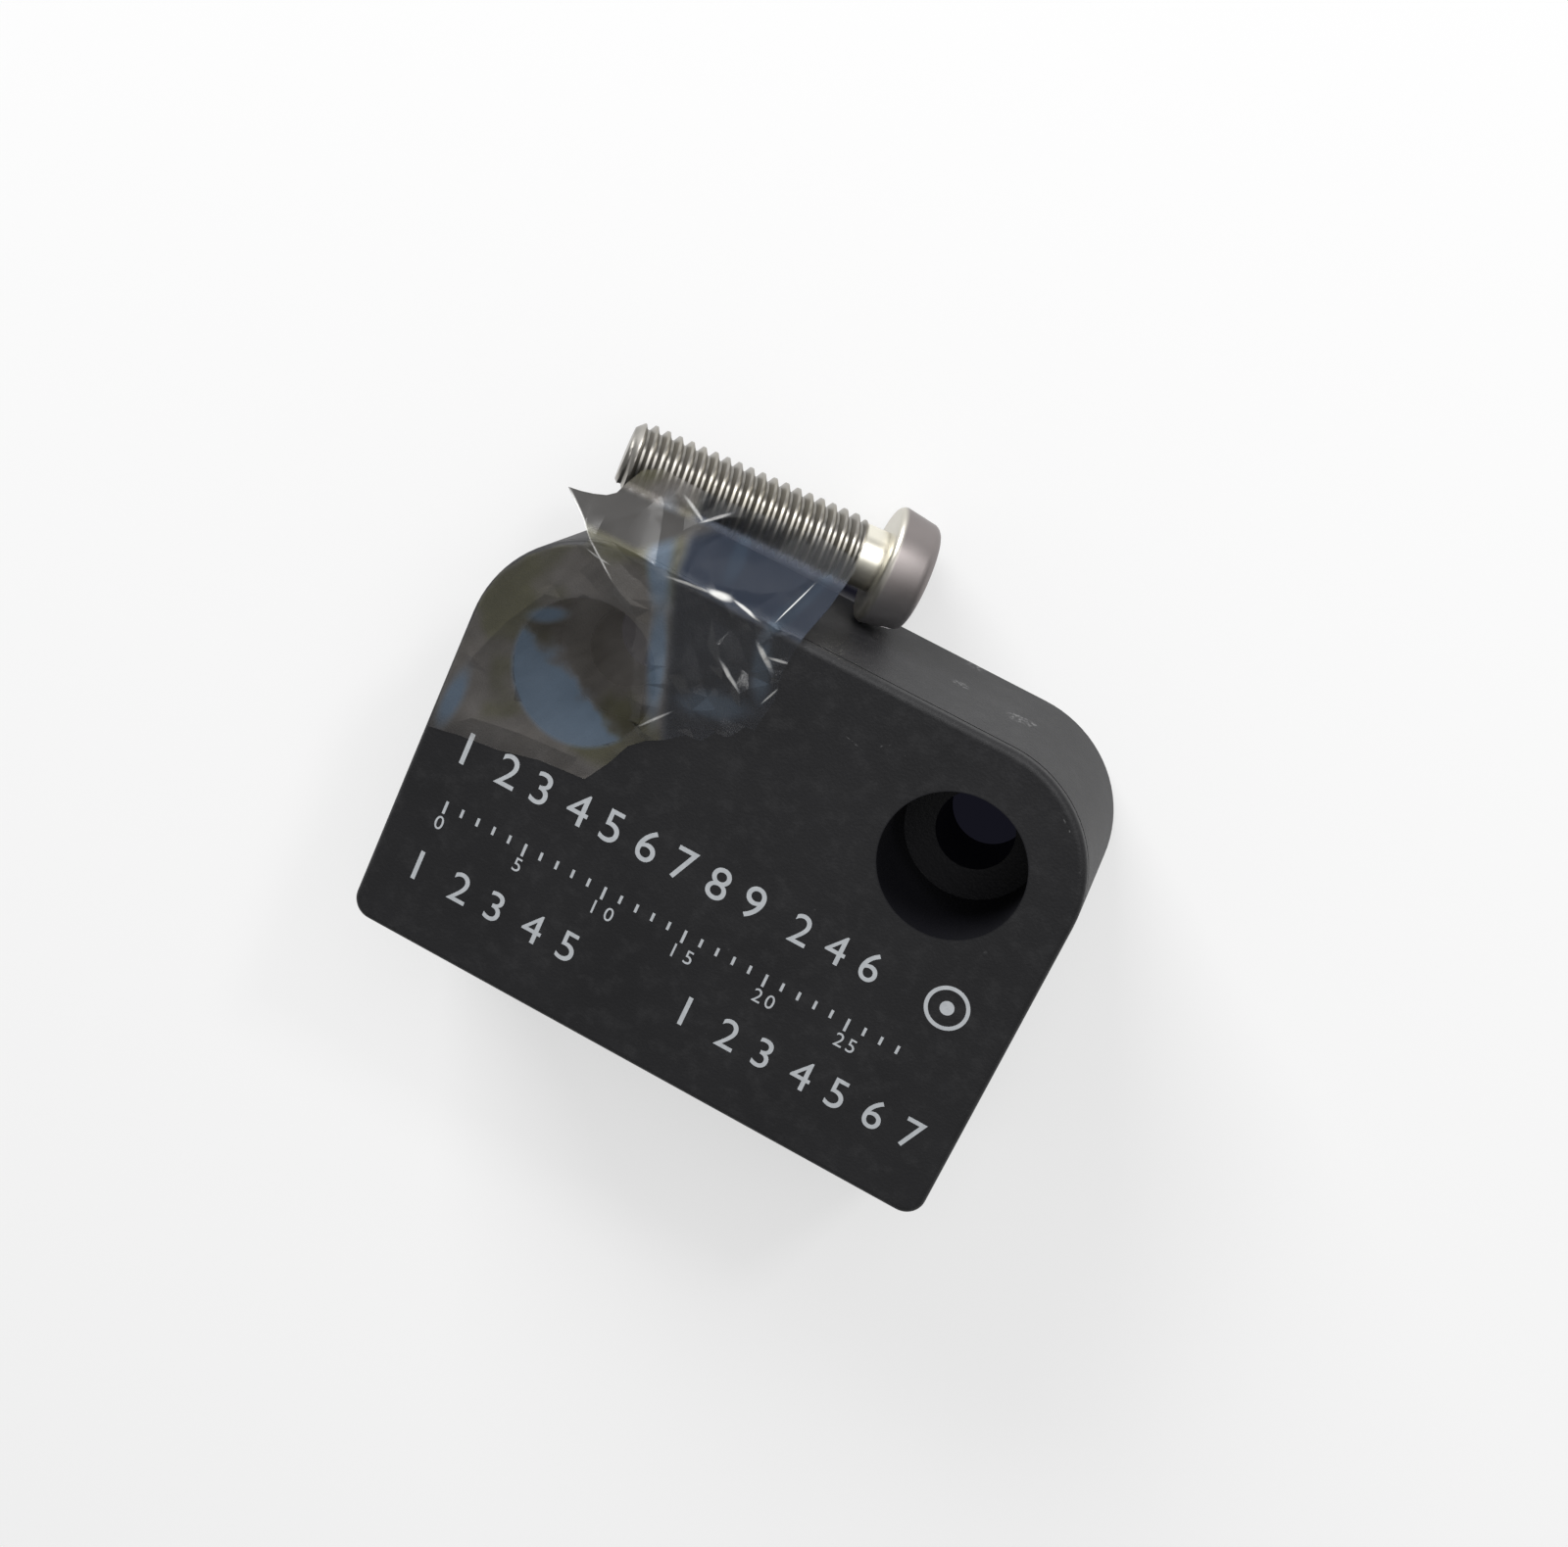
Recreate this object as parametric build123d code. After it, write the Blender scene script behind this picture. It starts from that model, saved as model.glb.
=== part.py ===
from build123d import *
import os
from math import cos, radians, sin, tan

# The magnet half of a magnetic safety sensor pair, as it lies on a table:
# on its back, printed face up, with a loose mounting screw along its top side
# and a piece of clear bag film across both.
# The origin is between the two screw holes on the mounting face, +X runs
# along the width, +Y towards the side with the holes, +Z out of the face.
# All sizes are in millimetres.

# Housing outline, seen on the printed face
hole_spacing = 22.0
top_corner_radius = 7.0
housing_height = 26.0
foot_corner_radius = 1.2
housing_depth = 13.0
face_edge_radius = 0.4

# Mould parting line, a fine groove round the sides just behind the face
parting_line_drop = 0.8
parting_line_width = 0.14
parting_line_depth = 0.1

# Screw holes, each with a deep seat for the screw's head
screw_hole_radius = 2.25
counterbore_radius = 4.0
counterbore_depth = 7.5
boss_wall = 1.6

# Hollow behind the face, open at the back until it is filled
side_wall = 1.6
face_wall = 1.8
hollow_corner_radius = 0.8
hollow_root_radius = 0.9
hollow_draft = 0.5

# Magnets, in a row across the lower half, as tall as the carrier leaves room for
magnet_width = 7.0
magnet_thickness = 5.0
magnet_pitch = 10.5
magnet_chamfer = 0.3

# Carrier, the tray that holds the magnets against the inside of the face
carrier_clearance = 0.25
carrier_floor = 1.0
carrier_corner_radius = 1.0
carrier_end_wall = 1.0
pocket_clearance = 0.08
finger_hole_radius = 1.5

# Pegs inside the face that place the carrier
peg_radius = 0.9
peg_length = 2.4
peg_clearance = 0.08

# Cast filling that closes the hollow
filling_recess = 0.3
filling_gap = 0.05

# Mounting screw with a slotted cheese head, M4
thread_radius = 2.0
neck_radius = 1.75
neck_length = 1.4
screw_length = 15.0
tip_chamfer = 0.5
head_radius = 3.4
head_height = 2.6
head_taper = 5.0
head_edge_radius = 0.45
slot_width = 1.2
slot_depth = 1.1
slot_turn = 25.0

# Where the loose screw lies, along the housing's top side: its head on the table, its tip up in the film
screw_rest_gap = 0.1
screw_bearing_x = -0.6
screw_lean = 17.0

# Bag film, a folded sheet from the screw over the edge and onto the face
film_thickness = 0.25
film_gap = 0.1
film_left_x = -17.4
film_foot_y = -5.4
film_step_y = -2.4
film_step_left_x = -8.6
film_step_right_x = -7.2
film_notch_x = -1.9
film_notch_y = 1.4
film_head_gap = 0.35
film_past_crest = 0.4

# Torn left end of the film, with a spike that stands out past the housing's rounded corner
film_corner_left_y = 2.2
film_corner_x = -15.6
film_corner_y = 4.9
film_nick_x = -13.9
film_nick_y = 6.6
film_spike_x = -16.1
film_spike_y = 8.5
film_hollow_x = -14.2
film_hollow_y = 8.8
film_tip_x = -13.5

# Derived sizes and places
housing_width = hole_spacing + 2 * top_corner_radius
top_y = top_corner_radius
foot_y = top_y - housing_height
middle_y = (top_y + foot_y) / 2
screw_y = top_y + head_radius + screw_rest_gap
crown_radius = head_radius - head_height * tan(radians(head_taper))
boss_radius = counterbore_radius + boss_wall
hollow_depth = housing_depth - face_wall
carrier_top_y = -boss_radius - carrier_clearance
carrier_foot_y = foot_y + side_wall + carrier_clearance + hollow_depth * tan(radians(hollow_draft))
carrier_height = carrier_top_y - carrier_foot_y
carrier_width = housing_width - 2 * (side_wall + carrier_clearance + hollow_depth * tan(radians(hollow_draft)))
carrier_depth = magnet_thickness + carrier_floor
magnet_height = carrier_height - 2 * (carrier_end_wall + pocket_clearance)
carrier_back_z = hollow_depth - carrier_depth
magnet_y = (carrier_top_y + carrier_foot_y) / 2
screw_hole_places = [(-hole_spacing / 2, 0), (hole_spacing / 2, 0)]
magnet_places = {
    "magnet_left": -magnet_pitch,
    "magnet_centre": 0.0,
    "magnet_right": magnet_pitch,
}
peg_places = [(-magnet_pitch / 2, magnet_y), (magnet_pitch / 2, magnet_y)]


def at(places, z=0.0):
    """The same points of the face, at a height above the mounting face."""
    return [Pos(x, y, z) for x, y in places]


def rounded_plan(inset, foot_radius):
    """The housing's outline, drawn in by an inset all round."""
    plan = Pos(0, middle_y) * Rectangle(housing_width - 2 * inset, housing_height - 2 * inset)
    plan = fillet(plan.vertices().group_by(Axis.Y)[-1], top_corner_radius - inset)
    return fillet(plan.vertices().group_by(Axis.Y)[0], foot_radius)


def hollow_plan(gap=0.0):
    """The hollow's outline at the back: inside the walls and round both screw bosses."""
    plan = rounded_plan(side_wall + gap, hollow_corner_radius)
    for place in at(screw_hole_places):
        plan -= place * Circle(boss_radius + gap)
    roots = plan.vertices().filter_by(lambda v: v.Y > -boss_radius)
    return fillet(roots, hollow_root_radius)


def hollow(gap, back_z, front_z):
    """The space behind the face, with its draft, from one height to another."""
    lean = back_z * tan(radians(hollow_draft))
    return extrude(Pos(0, 0, back_z) * hollow_plan(gap + lean), front_z - back_z, taper=hollow_draft)


def housing_shell():
    """Moulded shell with two screw bosses, open at the back."""
    shell = extrude(rounded_plan(0, foot_corner_radius), housing_depth)
    shell = fillet(shell.faces().sort_by(Axis.Z)[-1].edges(), face_edge_radius)
    around = rounded_plan(-1, foot_corner_radius + 1)
    ring = around - rounded_plan(parting_line_depth, foot_corner_radius)
    shell -= Pos(0, 0, housing_depth - parting_line_drop) * extrude(ring, -parting_line_width)
    shell -= hollow(0, 0, hollow_depth)
    for place in at(screw_hole_places):
        shell -= place * extrude(Circle(screw_hole_radius), housing_depth)
    for place in at(screw_hole_places, housing_depth):
        shell -= place * extrude(Circle(counterbore_radius), -counterbore_depth)
    for place in at(peg_places, hollow_depth):
        shell += place * extrude(Circle(peg_radius), -peg_length)
    return shell


def magnet_carrier():
    """Tray with a pocket for each magnet, open towards the face."""
    plan = fillet(Rectangle(carrier_width, carrier_height).vertices(), carrier_corner_radius)
    tray = Pos(0, magnet_y, carrier_back_z) * extrude(plan, carrier_depth)
    pocket = Rectangle(magnet_width + 2 * pocket_clearance, magnet_height + 2 * pocket_clearance)
    for x in magnet_places.values():
        tray -= Pos(x, magnet_y, hollow_depth) * extrude(pocket, -magnet_thickness)
        tray -= Pos(x, magnet_y, carrier_back_z) * extrude(Circle(finger_hole_radius), carrier_floor)
    for place in at(peg_places, hollow_depth):
        tray -= place * extrude(Circle(peg_radius + peg_clearance), -peg_length - peg_clearance)
    return tray


def magnet(x):
    """Block magnet on the carrier's floor, flush with the inside of the face."""
    block = extrude(Rectangle(magnet_width, magnet_height), -magnet_thickness)
    return Pos(x, magnet_y, hollow_depth) * chamfer(block.edges(), magnet_chamfer)


def cast_filling():
    """Cast resin that fills what is left of the hollow and seals the back."""
    filling = hollow(filling_gap, filling_recess, hollow_depth - filling_gap)
    room = Rectangle(carrier_width + 2 * filling_gap, carrier_height + 2 * filling_gap)
    depth = carrier_depth + filling_gap
    filling -= Pos(0, magnet_y, hollow_depth) * extrude(room, -depth)
    # The skins left at the tray's sides and foot are cut away, because they are thinner than the gaps beside them
    skins = Rectangle(housing_width, carrier_height + 2 * side_wall)
    foot_skin = Pos(0, magnet_y - side_wall, hollow_depth)
    filling -= foot_skin * extrude(skins, -depth)
    return filling


def screw_profile():
    """Half of the screw's section, tip at the origin and head along +Z."""
    with BuildSketch(Plane.XZ) as section:
        with BuildLine():
            Polyline(
                (0, 0),
                (thread_radius - tip_chamfer, 0),
                (thread_radius, tip_chamfer),
                (thread_radius, screw_length - neck_length),
                (neck_radius, screw_length - neck_length + thread_radius - neck_radius),
                (neck_radius, screw_length),
                (head_radius, screw_length),
                (crown_radius, screw_length + head_height),
                (0, screw_length + head_height),
                close=True,
            )
        make_face()
        crown = section.vertices().group_by(Axis.Y)[-1].sort_by(Axis.X)[-1]
        fillet(crown, head_edge_radius)
    return section.sketch


def screw_lie():
    """Where the screw lies: head on the table and beside the housing, tip up, parallel to the top side."""
    lean = radians(screw_lean)
    direction = Vector(cos(lean), 0, -sin(lean))
    taper = radians(head_taper)
    rounding_z = head_height - head_edge_radius
    rounding_radius = head_radius - rounding_z * tan(taper) - head_edge_radius / cos(taper)
    crown_drop = rounding_z * sin(lean) + rounding_radius * cos(lean) + head_edge_radius
    rim_drop = head_radius * cos(lean)
    bearing = Vector(screw_bearing_x, screw_y, max(crown_drop, rim_drop))
    return Plane(origin=bearing - direction * screw_length, z_dir=direction)


def mounting_screw():
    """Cheese-head screw with a slot, its thread drawn as a plain cylinder."""
    screw = revolve(screw_profile(), Axis.Z)
    slot = Box(slot_width, 2 * head_radius, 2 * slot_depth)
    screw -= Pos(0, 0, screw_length + head_height) * Rot(0, 0, slot_turn) * slot
    return screw_lie() * screw


def film_section(x):
    """The film's folded section at a place along the screw: up from its thread, over the edge, onto the face."""
    lie = screw_lie()
    axis_z = lie.origin.Z - (x - lie.origin.X) * tan(radians(screw_lean))
    crest_z = axis_z + thread_radius / cos(radians(screw_lean)) + film_gap
    edge_y = top_y + film_gap
    edge_z = housing_depth + film_gap
    points = [
        (screw_y + film_past_crest, crest_z),
        (edge_y, edge_z),
        (film_foot_y, edge_z),
        (film_foot_y, edge_z + film_thickness),
        (edge_y + film_thickness, edge_z + film_thickness),
        (screw_y + film_past_crest + film_thickness, crest_z),
    ]
    return Face(Wire.make_polygon([Vector(x, y, z) for y, z in points], close=True))


def film_outline():
    """The torn film's outline from above, from its left end round the spike and along the screw."""
    back_y = screw_y + film_past_crest + film_thickness
    right_x = screw_bearing_x - film_head_gap
    return Polygon(
        (film_left_x, film_foot_y),
        (film_step_left_x, film_foot_y),
        (film_step_right_x, film_step_y),
        (film_notch_x, film_notch_y),
        (right_x, top_y),
        (right_x, back_y),
        (film_tip_x, back_y),
        (film_hollow_x, film_hollow_y),
        (film_spike_x, film_spike_y),
        (film_nick_x, film_nick_y),
        (film_corner_x, film_corner_y),
        (film_left_x, film_corner_left_y),
        align=None,
    )


def bag_film():
    """Clear film over the screw and the left screw hole, as one folded sheet."""
    right_x = screw_bearing_x - film_head_gap
    sheet = loft([film_section(film_left_x), film_section(right_x)], ruled=True)
    return sheet & extrude(film_outline(), housing_depth + film_gap + film_thickness)


def subparts():
    """Every piece by its name."""
    pieces = {
        "housing_shell": housing_shell(),
        "magnet_carrier": magnet_carrier(),
        "cast_filling": cast_filling(),
        "mounting_screw": mounting_screw(),
        "bag_film": bag_film(),
    }
    for name, x in magnet_places.items():
        pieces[name] = magnet(x)
    return pieces


os.makedirs("parts", exist_ok=True)
for name, piece in subparts().items():
    export_step(piece, f"parts/{name}.step")
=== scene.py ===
from math import ceil, cos, pi, radians, sin, tan

import bmesh
import bpy
from mathutils import Matrix, Vector, geometry, noise


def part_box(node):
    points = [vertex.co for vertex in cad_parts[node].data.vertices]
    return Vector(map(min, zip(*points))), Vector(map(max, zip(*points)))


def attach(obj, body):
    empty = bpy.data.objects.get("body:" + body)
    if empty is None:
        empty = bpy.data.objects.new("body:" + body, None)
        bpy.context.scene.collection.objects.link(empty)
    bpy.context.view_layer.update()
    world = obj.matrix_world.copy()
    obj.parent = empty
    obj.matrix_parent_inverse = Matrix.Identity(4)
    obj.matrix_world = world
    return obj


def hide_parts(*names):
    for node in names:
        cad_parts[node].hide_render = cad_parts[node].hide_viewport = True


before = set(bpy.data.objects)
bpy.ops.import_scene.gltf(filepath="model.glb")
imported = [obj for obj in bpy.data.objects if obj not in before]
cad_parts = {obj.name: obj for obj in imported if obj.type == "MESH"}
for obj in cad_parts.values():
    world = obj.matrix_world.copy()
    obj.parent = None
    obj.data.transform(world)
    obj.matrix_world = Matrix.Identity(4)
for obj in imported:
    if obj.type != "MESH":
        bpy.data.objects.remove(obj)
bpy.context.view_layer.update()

# The magnet half of a magnetic safety sensor lies on a pale floor, printed face up,
# with a loose M4 screw along its top side and a torn piece of clear bag film over both.
# The frame is the CAD model's, in metres: origin between the screw holes on the mounting
# face, X along the width, Y towards the side with the holes, Z out of the printed face.
# Lists of places are in millimetres, as their comments say.
MM = 0.001

# Camera, fitted to the photograph
camera_place = Vector((14.70, 35.89, 120.15)) * MM
camera_target = Vector((0.99, 0.21, 13.0)) * MM
camera_up = Vector((-0.4638, 0.8567, -0.2259))
camera_lens = 49.81
camera_sensor = 36.0
camera_range = (1 * MM, 10)

# Lamps: name, place, side of the square, power. The world adds a plain white fill.
lamps = [
    ("window", Vector((-0.23, 0.27, 0.13)), 0.2, 1.5),
    ("glint", Vector((0.14, 0.28, 0.24)), 0.05, 0.3),
    ("overhead", Vector((0.12, 0.22, 0.40)), 0.35, 0.8),
]
world_strength = 0.3

# Floor: half its side and how far it lies under the mounting face
floor_reach = 1.5
floor_drop = 0.01 * MM
floor_white = (0.86, 0.86, 0.86)
# Colour and glow of the painted shade on the floor under block and film
floor_painted_shade = (0.004, 0.004, 0.007)
floor_glow = (1, 1, 1)
painted_shade_glow = (0.012, 0.012, 0.02)
glow_share = 0.55
# Where the floor is painted dark as shade: under the block, and as a painted contact shadow under the film
# beside it.
# Each rectangle has its centre, its half sizes and the width of its soft border, in millimetres.
under_block = ((0, -6), (15.5, 10.0), 0.7)
under_film = ((-6.8, 7.5), (9.0, 2.8), 2.8)

# Housing, as in the CAD model
housing_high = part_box("housing_shell")[1]
face_z = housing_high.z
top_y = housing_high.y
left_hole, right_hole = (Vector((x * MM, 0, face_z)) for x in (-11.0, 11.0))
seat_radius = 4.0 * MM
# Wear on the plastic, in millimetres: scratches on the face with their centre, turn in degrees,
# length and width, and scuffs on the top side with their centre and radius
scratches = [
    ((3.7, 3.45, 13.0), -12, 1.6, 0.11), ((5.1, 4.1, 13.0), 35, 0.9, 0.09),
    ((15.3, 4.8, 13.0), -38, 1.3, 0.12),
]
scuffs = [
    ((10.4, 7.0, 6.5), 0.9), ((10.9, 7.0, 6.1), 0.6), ((6.7, 7.0, 5.6), 0.6), ((6.6, 7.0, 0.4), 0.7),
]

# Mounting screw, M4 x 15 with a slotted cheese head. Its head lies on the floor, its tip in the film.
thread_radius = 2.0 * MM
core_radius = 1.64 * MM
thread_pitch = 0.7 * MM
# Shares of the pitch that are flat at the thread's crest and at its root
crest_flat = 0.2
root_flat = 0.2
# How far the thread's end runs into the neck, and how much thinner than the neck it is there
thread_in_neck = 0.1 * MM
thread_under_neck = 0.02 * MM
neck_radius = 1.75 * MM
neck_length = 1.4 * MM
screw_length = 15.0 * MM
tip_chamfer = 0.5 * MM
head_radius = 3.4 * MM
head_height = 2.6 * MM
head_taper = 5.0
head_edge_radius = 0.65 * MM
head_rim_radius = 0.4 * MM
crown_rise = 0.12 * MM
slot_width = 1.2 * MM
slot_depth = 1.1 * MM
# The slot's turn about the screw, and how far the tip is raised, in degrees
slot_turn = 73.0
screw_lean = 17.0
screw_axis = Vector((cos(radians(screw_lean)), 0, -sin(radians(screw_lean))))
screw_low, screw_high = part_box("mounting_screw")
screw_y = (screw_low.y + screw_high.y) / 2
# The middle of the face under its head
screw_bearing = Vector((-0.6 * MM, screw_y, 3.718 * MM))
# Along Y in millimetres, from where to where the head's side grows paler with a painted reflection
head_painted_reflection = (10.6, 8.2)
screw_points = 72
rows_per_turn = 10
screw_sharp_angle = 40

# Torn bag film, in millimetres. Its rim seen from above starts at the spike and goes down its left side.
film_rim = [
    (-15.97, 8.39), (-15.11, 7.83), (-14.24, 7.29), (-13.45, 6.75), (-13.75, 6.25), (-14.95, 5.6),
    (-16.3, 4.35), (-17.3, 2.85), (-17.75, 1.1), (-17.8, -1.5), (-17.8, -4.2), (-17.75, -6.9),
    (-15.9, -6.5), (-13.6, -6.2), (-11.4, -5.6), (-8.6, -5.3), (-7.8, -3.9), (-7.2, -2.5),
    (-6.4, -1.7), (-5.5, -1.2), (-4.6, -0.4), (-3.7, -0.3), (-3.2, 0.5), (-2.5, 0.6),
    (-1.9, 1.5), (-1.4, 1.6), (-1.1, 3.5), (-1.35, 5.2), (-1.15, 7.3), (-0.97, 8.6),
    (-1.0, 10.3), (-1.4, 10.7), (-3.9, 11.0), (-5.8, 10.9), (-7.9, 10.8), (-9.8, 10.75),
    (-11.2, 10.85), (-12.4, 10.95), (-13.2, 10.5), (-13.5, 9.7), (-13.66, 9.1), (-14.04, 8.8),
    (-14.67, 8.6), (-15.3, 8.47),
]
# Its creases: how far each stands up, how wide it runs out, and the points that it follows
film_creases = [
    (0.42, 0.9, [(-13.45, 6.75), (-12.42, 5.99), (-11.7, 5.43), (-10.9, 4.97), (-10.05, 4.65)]),
    (0.36, 0.8, [(-11.2, 9.6), (-9.75, 7.1), (-8.7, 4.5), (-7.85, 1.6), (-7.1, -1.0)]),
    (0.10, 0.4, [(-9.9, 9.3), (-8.55, 7.1), (-7.45, 4.4), (-6.75, 1.6), (-6.2, -0.6)]),
    (0.40, 0.7, [(-10.92, 10.27), (-9.19, 9.45), (-7.97, 10.28)]),
    (0.05, 0.3, [(-13.3, 7.1), (-9.75, 7.1), (-8.55, 7.1), (-6.9, 7.1), (-1.2, 7.1)]),
    (0.34, 0.8, [(-7.3, 7.9), (-6.3, 7.35), (-5.0, 6.75), (-3.6, 6.7)]),
    (0.55, 0.8, [(-4.9, 4.9), (-4.2, 3.95), (-2.85, 3.14)]),
    (0.45, 0.6, [(-3.3, 6.2), (-2.8, 5.6), (-1.7, 4.7)]),
    (0.42, 0.7, [(-6.1, 7.6), (-4.4, 7.9), (-2.94, 8.72), (-2.47, 10.0)]),
    (0.36, 0.6, [(-2.3, 6.3), (-2.94, 8.72)]),
    (0.32, 0.6, [(-6.4, 3.0), (-5.2, 1.9), (-4.5, 0.1)]),
    (0.30, 0.6, [(-3.9, 2.6), (-3.5, 1.2), (-2.6, 0.9)]),
    (0.22, 0.9, [(-16.9, -2.1), (-15.9, 0.6), (-14.6, 2.9)]),
    (0.18, 0.8, [(-15.6, -5.2), (-12.9, -4.7), (-9.6, -4.4)]),
]
# Painted bluish reflections, and painted glints where its creases catch the light: both ends of each mark and
# its width
film_reflected_marks = [
    ((-11.4, 10.3), (-8.0, 4.2), 1.9), ((-9.0, 6.4), (-6.3, -1.2), 1.5), ((-15.2, 1.2), (-12.9, 2.6), 1.3),
    ((-17.3, -7.2), (-16.9, -2.4), 1.6), ((-3.2, 5.6), (-1.7, 10.4), 1.2),
    ((-6.2, 1.0), (-1.6, 2.6), 2.2), ((-6.9, 9.9), (-5.9, 7.6), 1.2), ((-1.6, 2.6), (-3.1, 6.8), 1.6),
]
film_painted_glints = [
    ((-16.1, 8.5), (-13.2, 6.55), 0.30), ((-14.0, 7.15), (-11.4, 5.25), 0.16),
    ((-13.6, 6.2), (-11.9, 6.0), 0.13), ((-10.7, 10.35), (-8.95, 9.6), 0.20),
    ((-9.1, 9.55), (-7.9, 10.55), 0.26), ((-6.8, 7.15), (-5.2, 7.3), 0.50),
    ((-9.1, 6.8), (-6.3, 7.15), 0.24), ((-4.75, 4.4), (-2.75, 3.1), 0.30),
    ((-3.3, 6.1), (-1.7, 4.9), 0.42), ((-5.4, 7.35), (-3.4, 7.0), 0.20),
    ((-2.3, 9.3), (-2.8, 7.2), 0.10), ((-2.6, 5.5), (-0.9, 5.7), 0.22),
    ((-7.2, -1.3), (-5.7, 0.5), 0.20), ((-1.7, 2.95), (-1.1, 4.4), 0.16),
]
# Soft borders of its parts: the gap between block and screw and the part above the foot by Y,
# the spike by Y and its slant times X, the thin part by X and its slant times Y
gap_start = (6.7, 7.5)
gap_end = (9.3, 9.9)
spike_slant = -0.9
spike_border = (16.2, 17.6)
thin_slant = 0.355
thin_border = (-6.5, -5.6)
foot_border = (-7.0, -4.8)
# The bluish crescent over the left hole, a painted reflection: a point of its straight side, which way that
# side runs in degrees, how ragged it is and how soft
crescent_side = (-13.0, 0.5, 0)
crescent_turn = -24
crescent_ragged = 1.2
crescent_border = (0.0, -1.1)
# Its streaks: which way they run in degrees, and how long, wide and deep they are
streak_turn = 62
streak_size = (1 / 0.26, 1 / 1.5, 1 / 0.4)
film_thickness = 0.05 * MM
film_clearance = 0.03
# Its smooth form bends this far outside the block's side and past the screw's axis
film_bend_out = 0.1
film_crest_out = 0.4
# Its facets: their size, how far their corners stray and where in the noise that is read,
# the step along rim and creases, and the height of the finest unevenness, which grows
# from left to right
film_cell = 0.85
film_stray = 0.9
stray_steps = (1.37, 2.11)
stray_layers = (0.5, 7.5)
film_step = 0.5
film_merge = 0.02
uneven_low = 0.08
uneven_gain = 0.20
uneven_from_x = -10
uneven_over = 4
uneven_scale = 1.7
uneven_layer = 3.1
hole_sag = 0.5
film_sharp_angle = 14

# Generic print: plain digits in rows, a ruled scale and a ring, in millimetres from the origin.
# Each row has its digits, the first digit's left end, the step between digits, baseline and height.
ink_thickness = 0.012 * MM
digit_rows = [
    ("123456789", -15.4, 2.17, -7.97, 1.9),
    ("246", 4.9, 2.1, -7.97, 1.75),
    ("12345", -15.4, 2.3, -15.4, 1.77),
    ("1234567", 1.6, 2.25, -15.4, 1.77),
]
scale_left = -15.1
scale_step = 1.0
scale_ticks = 29
scale_numbered = 5
scale_top = -10.3
tick_width = 0.16
tick_length = 0.5
long_tick_more = 0.55
scale_digit_height = 0.8
scale_digit_step = 0.75
scale_digit_back = 0.25
scale_digit_drop = 0.95
ring_place = Vector((14.2, -7.1))
# The ring and the dot in it: outer radius and line width
ring_sizes = [(1.25, 0.22), (0.4, 0.39)]
ink_ring_points = 64

# Points of a mesh closer than this are one
merge_distance = 0.002 * MM
fine_merge_distance = 0.0005 * MM
thread_merge_distance = 0.001 * MM


class Graph:
    """Adds and joins the nodes of one shader or geometry tree."""

    def __init__(self, tree):
        self.tree = tree

    def feed(self, socket, value):
        if isinstance(value, bpy.types.NodeSocket):
            self.tree.links.new(value, socket)
        else:
            socket.default_value = value

    def add(self, kind, inputs=None, **settings):
        node = self.tree.nodes.new(kind)
        for name, value in settings.items():
            setattr(node, name, value)
        for name, value in (inputs or {}).items():
            self.feed(node.inputs[name], value)
        return node

    def math(self, operation, *values):
        node = self.add("ShaderNodeMath", operation=operation)
        for socket, value in zip(node.inputs, values):
            self.feed(socket, value)
        return node.outputs[0]

    def limited(self, value):
        return self.math("MINIMUM", self.math("MAXIMUM", value, 0.0), 1.0)


class Finish(Graph):
    """A material's node tree round its Principled shader, with patterns on Object coordinates."""

    def __init__(self, name, roughness=0.5, metallic=0.0, specular=0.5):
        self.material = bpy.data.materials.new(name)
        self.material.use_nodes = True
        super().__init__(self.material.node_tree)
        self.surface = self.tree.nodes["Principled BSDF"]
        self.output = self.tree.nodes["Material Output"]
        self.surface.inputs["Metallic"].default_value = metallic
        self.surface.inputs["Roughness"].default_value = roughness
        self.surface.inputs["Specular IOR Level"].default_value = specular
        self.place = self.add("ShaderNodeTexCoord").outputs["Object"]

    def moved(self, centre, turn=0.0, size=(1, 1, 1)):
        """The place seen by a pattern with a centre, a turn about Z and a size; 0 leaves an axis out."""
        inputs = {"Vector": self.place, "Location": centre, "Rotation": (0, 0, turn), "Scale": size}
        return self.add("ShaderNodeMapping", inputs, vector_type="TEXTURE").outputs["Vector"]

    def noise(self, size, detail=2.0, place=None, roughness=0.5):
        """Cloudy pattern with features of a size, from 0 to 1."""
        node = self.add("ShaderNodeTexNoise", {"Vector": place or self.place, "Scale": 1 / size})
        node.inputs["Detail"].default_value = detail
        node.inputs["Roughness"].default_value = roughness
        return node.outputs["Fac"]

    def above(self, value, low, high):
        """0 up to low, 1 from high on, smooth between. Where high is under low, it falls."""
        node = self.add("ShaderNodeMapRange", {"Value": value, "From Min": low, "From Max": high})
        node.interpolation_type = "SMOOTHSTEP"
        return node.outputs["Result"]

    def past(self, value, border):
        """0 before a soft border in millimetres, 1 behind it, smooth between."""
        start, end = border
        return self.above(value, start * MM, end * MM)

    def blend(self, share, first, second):
        """One colour turning into another."""
        node = self.add("ShaderNodeMix", data_type="RGBA")
        self.feed(node.inputs["Factor"], share)
        for name, colour in (("A", first), ("B", second)):
            socket = next(s for s in node.inputs if s.name == name and s.type == "RGBA")
            self.feed(socket, colour if isinstance(colour, bpy.types.NodeSocket) else (*colour, 1))
        return next(s for s in node.outputs if s.type == "RGBA")

    def between(self, share, low, high):
        """A number from low to high."""
        return self.math("MULTIPLY_ADD", share, high - low, low)

    def colour(self, value):
        self.feed(self.surface.inputs["Base Color"], value)

    def bump(self, height, depth, strength=1.0):
        node = self.add("ShaderNodeBump", {"Height": height, "Distance": depth, "Strength": strength})
        self.feed(self.surface.inputs["Normal"], node.outputs["Normal"])


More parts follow.
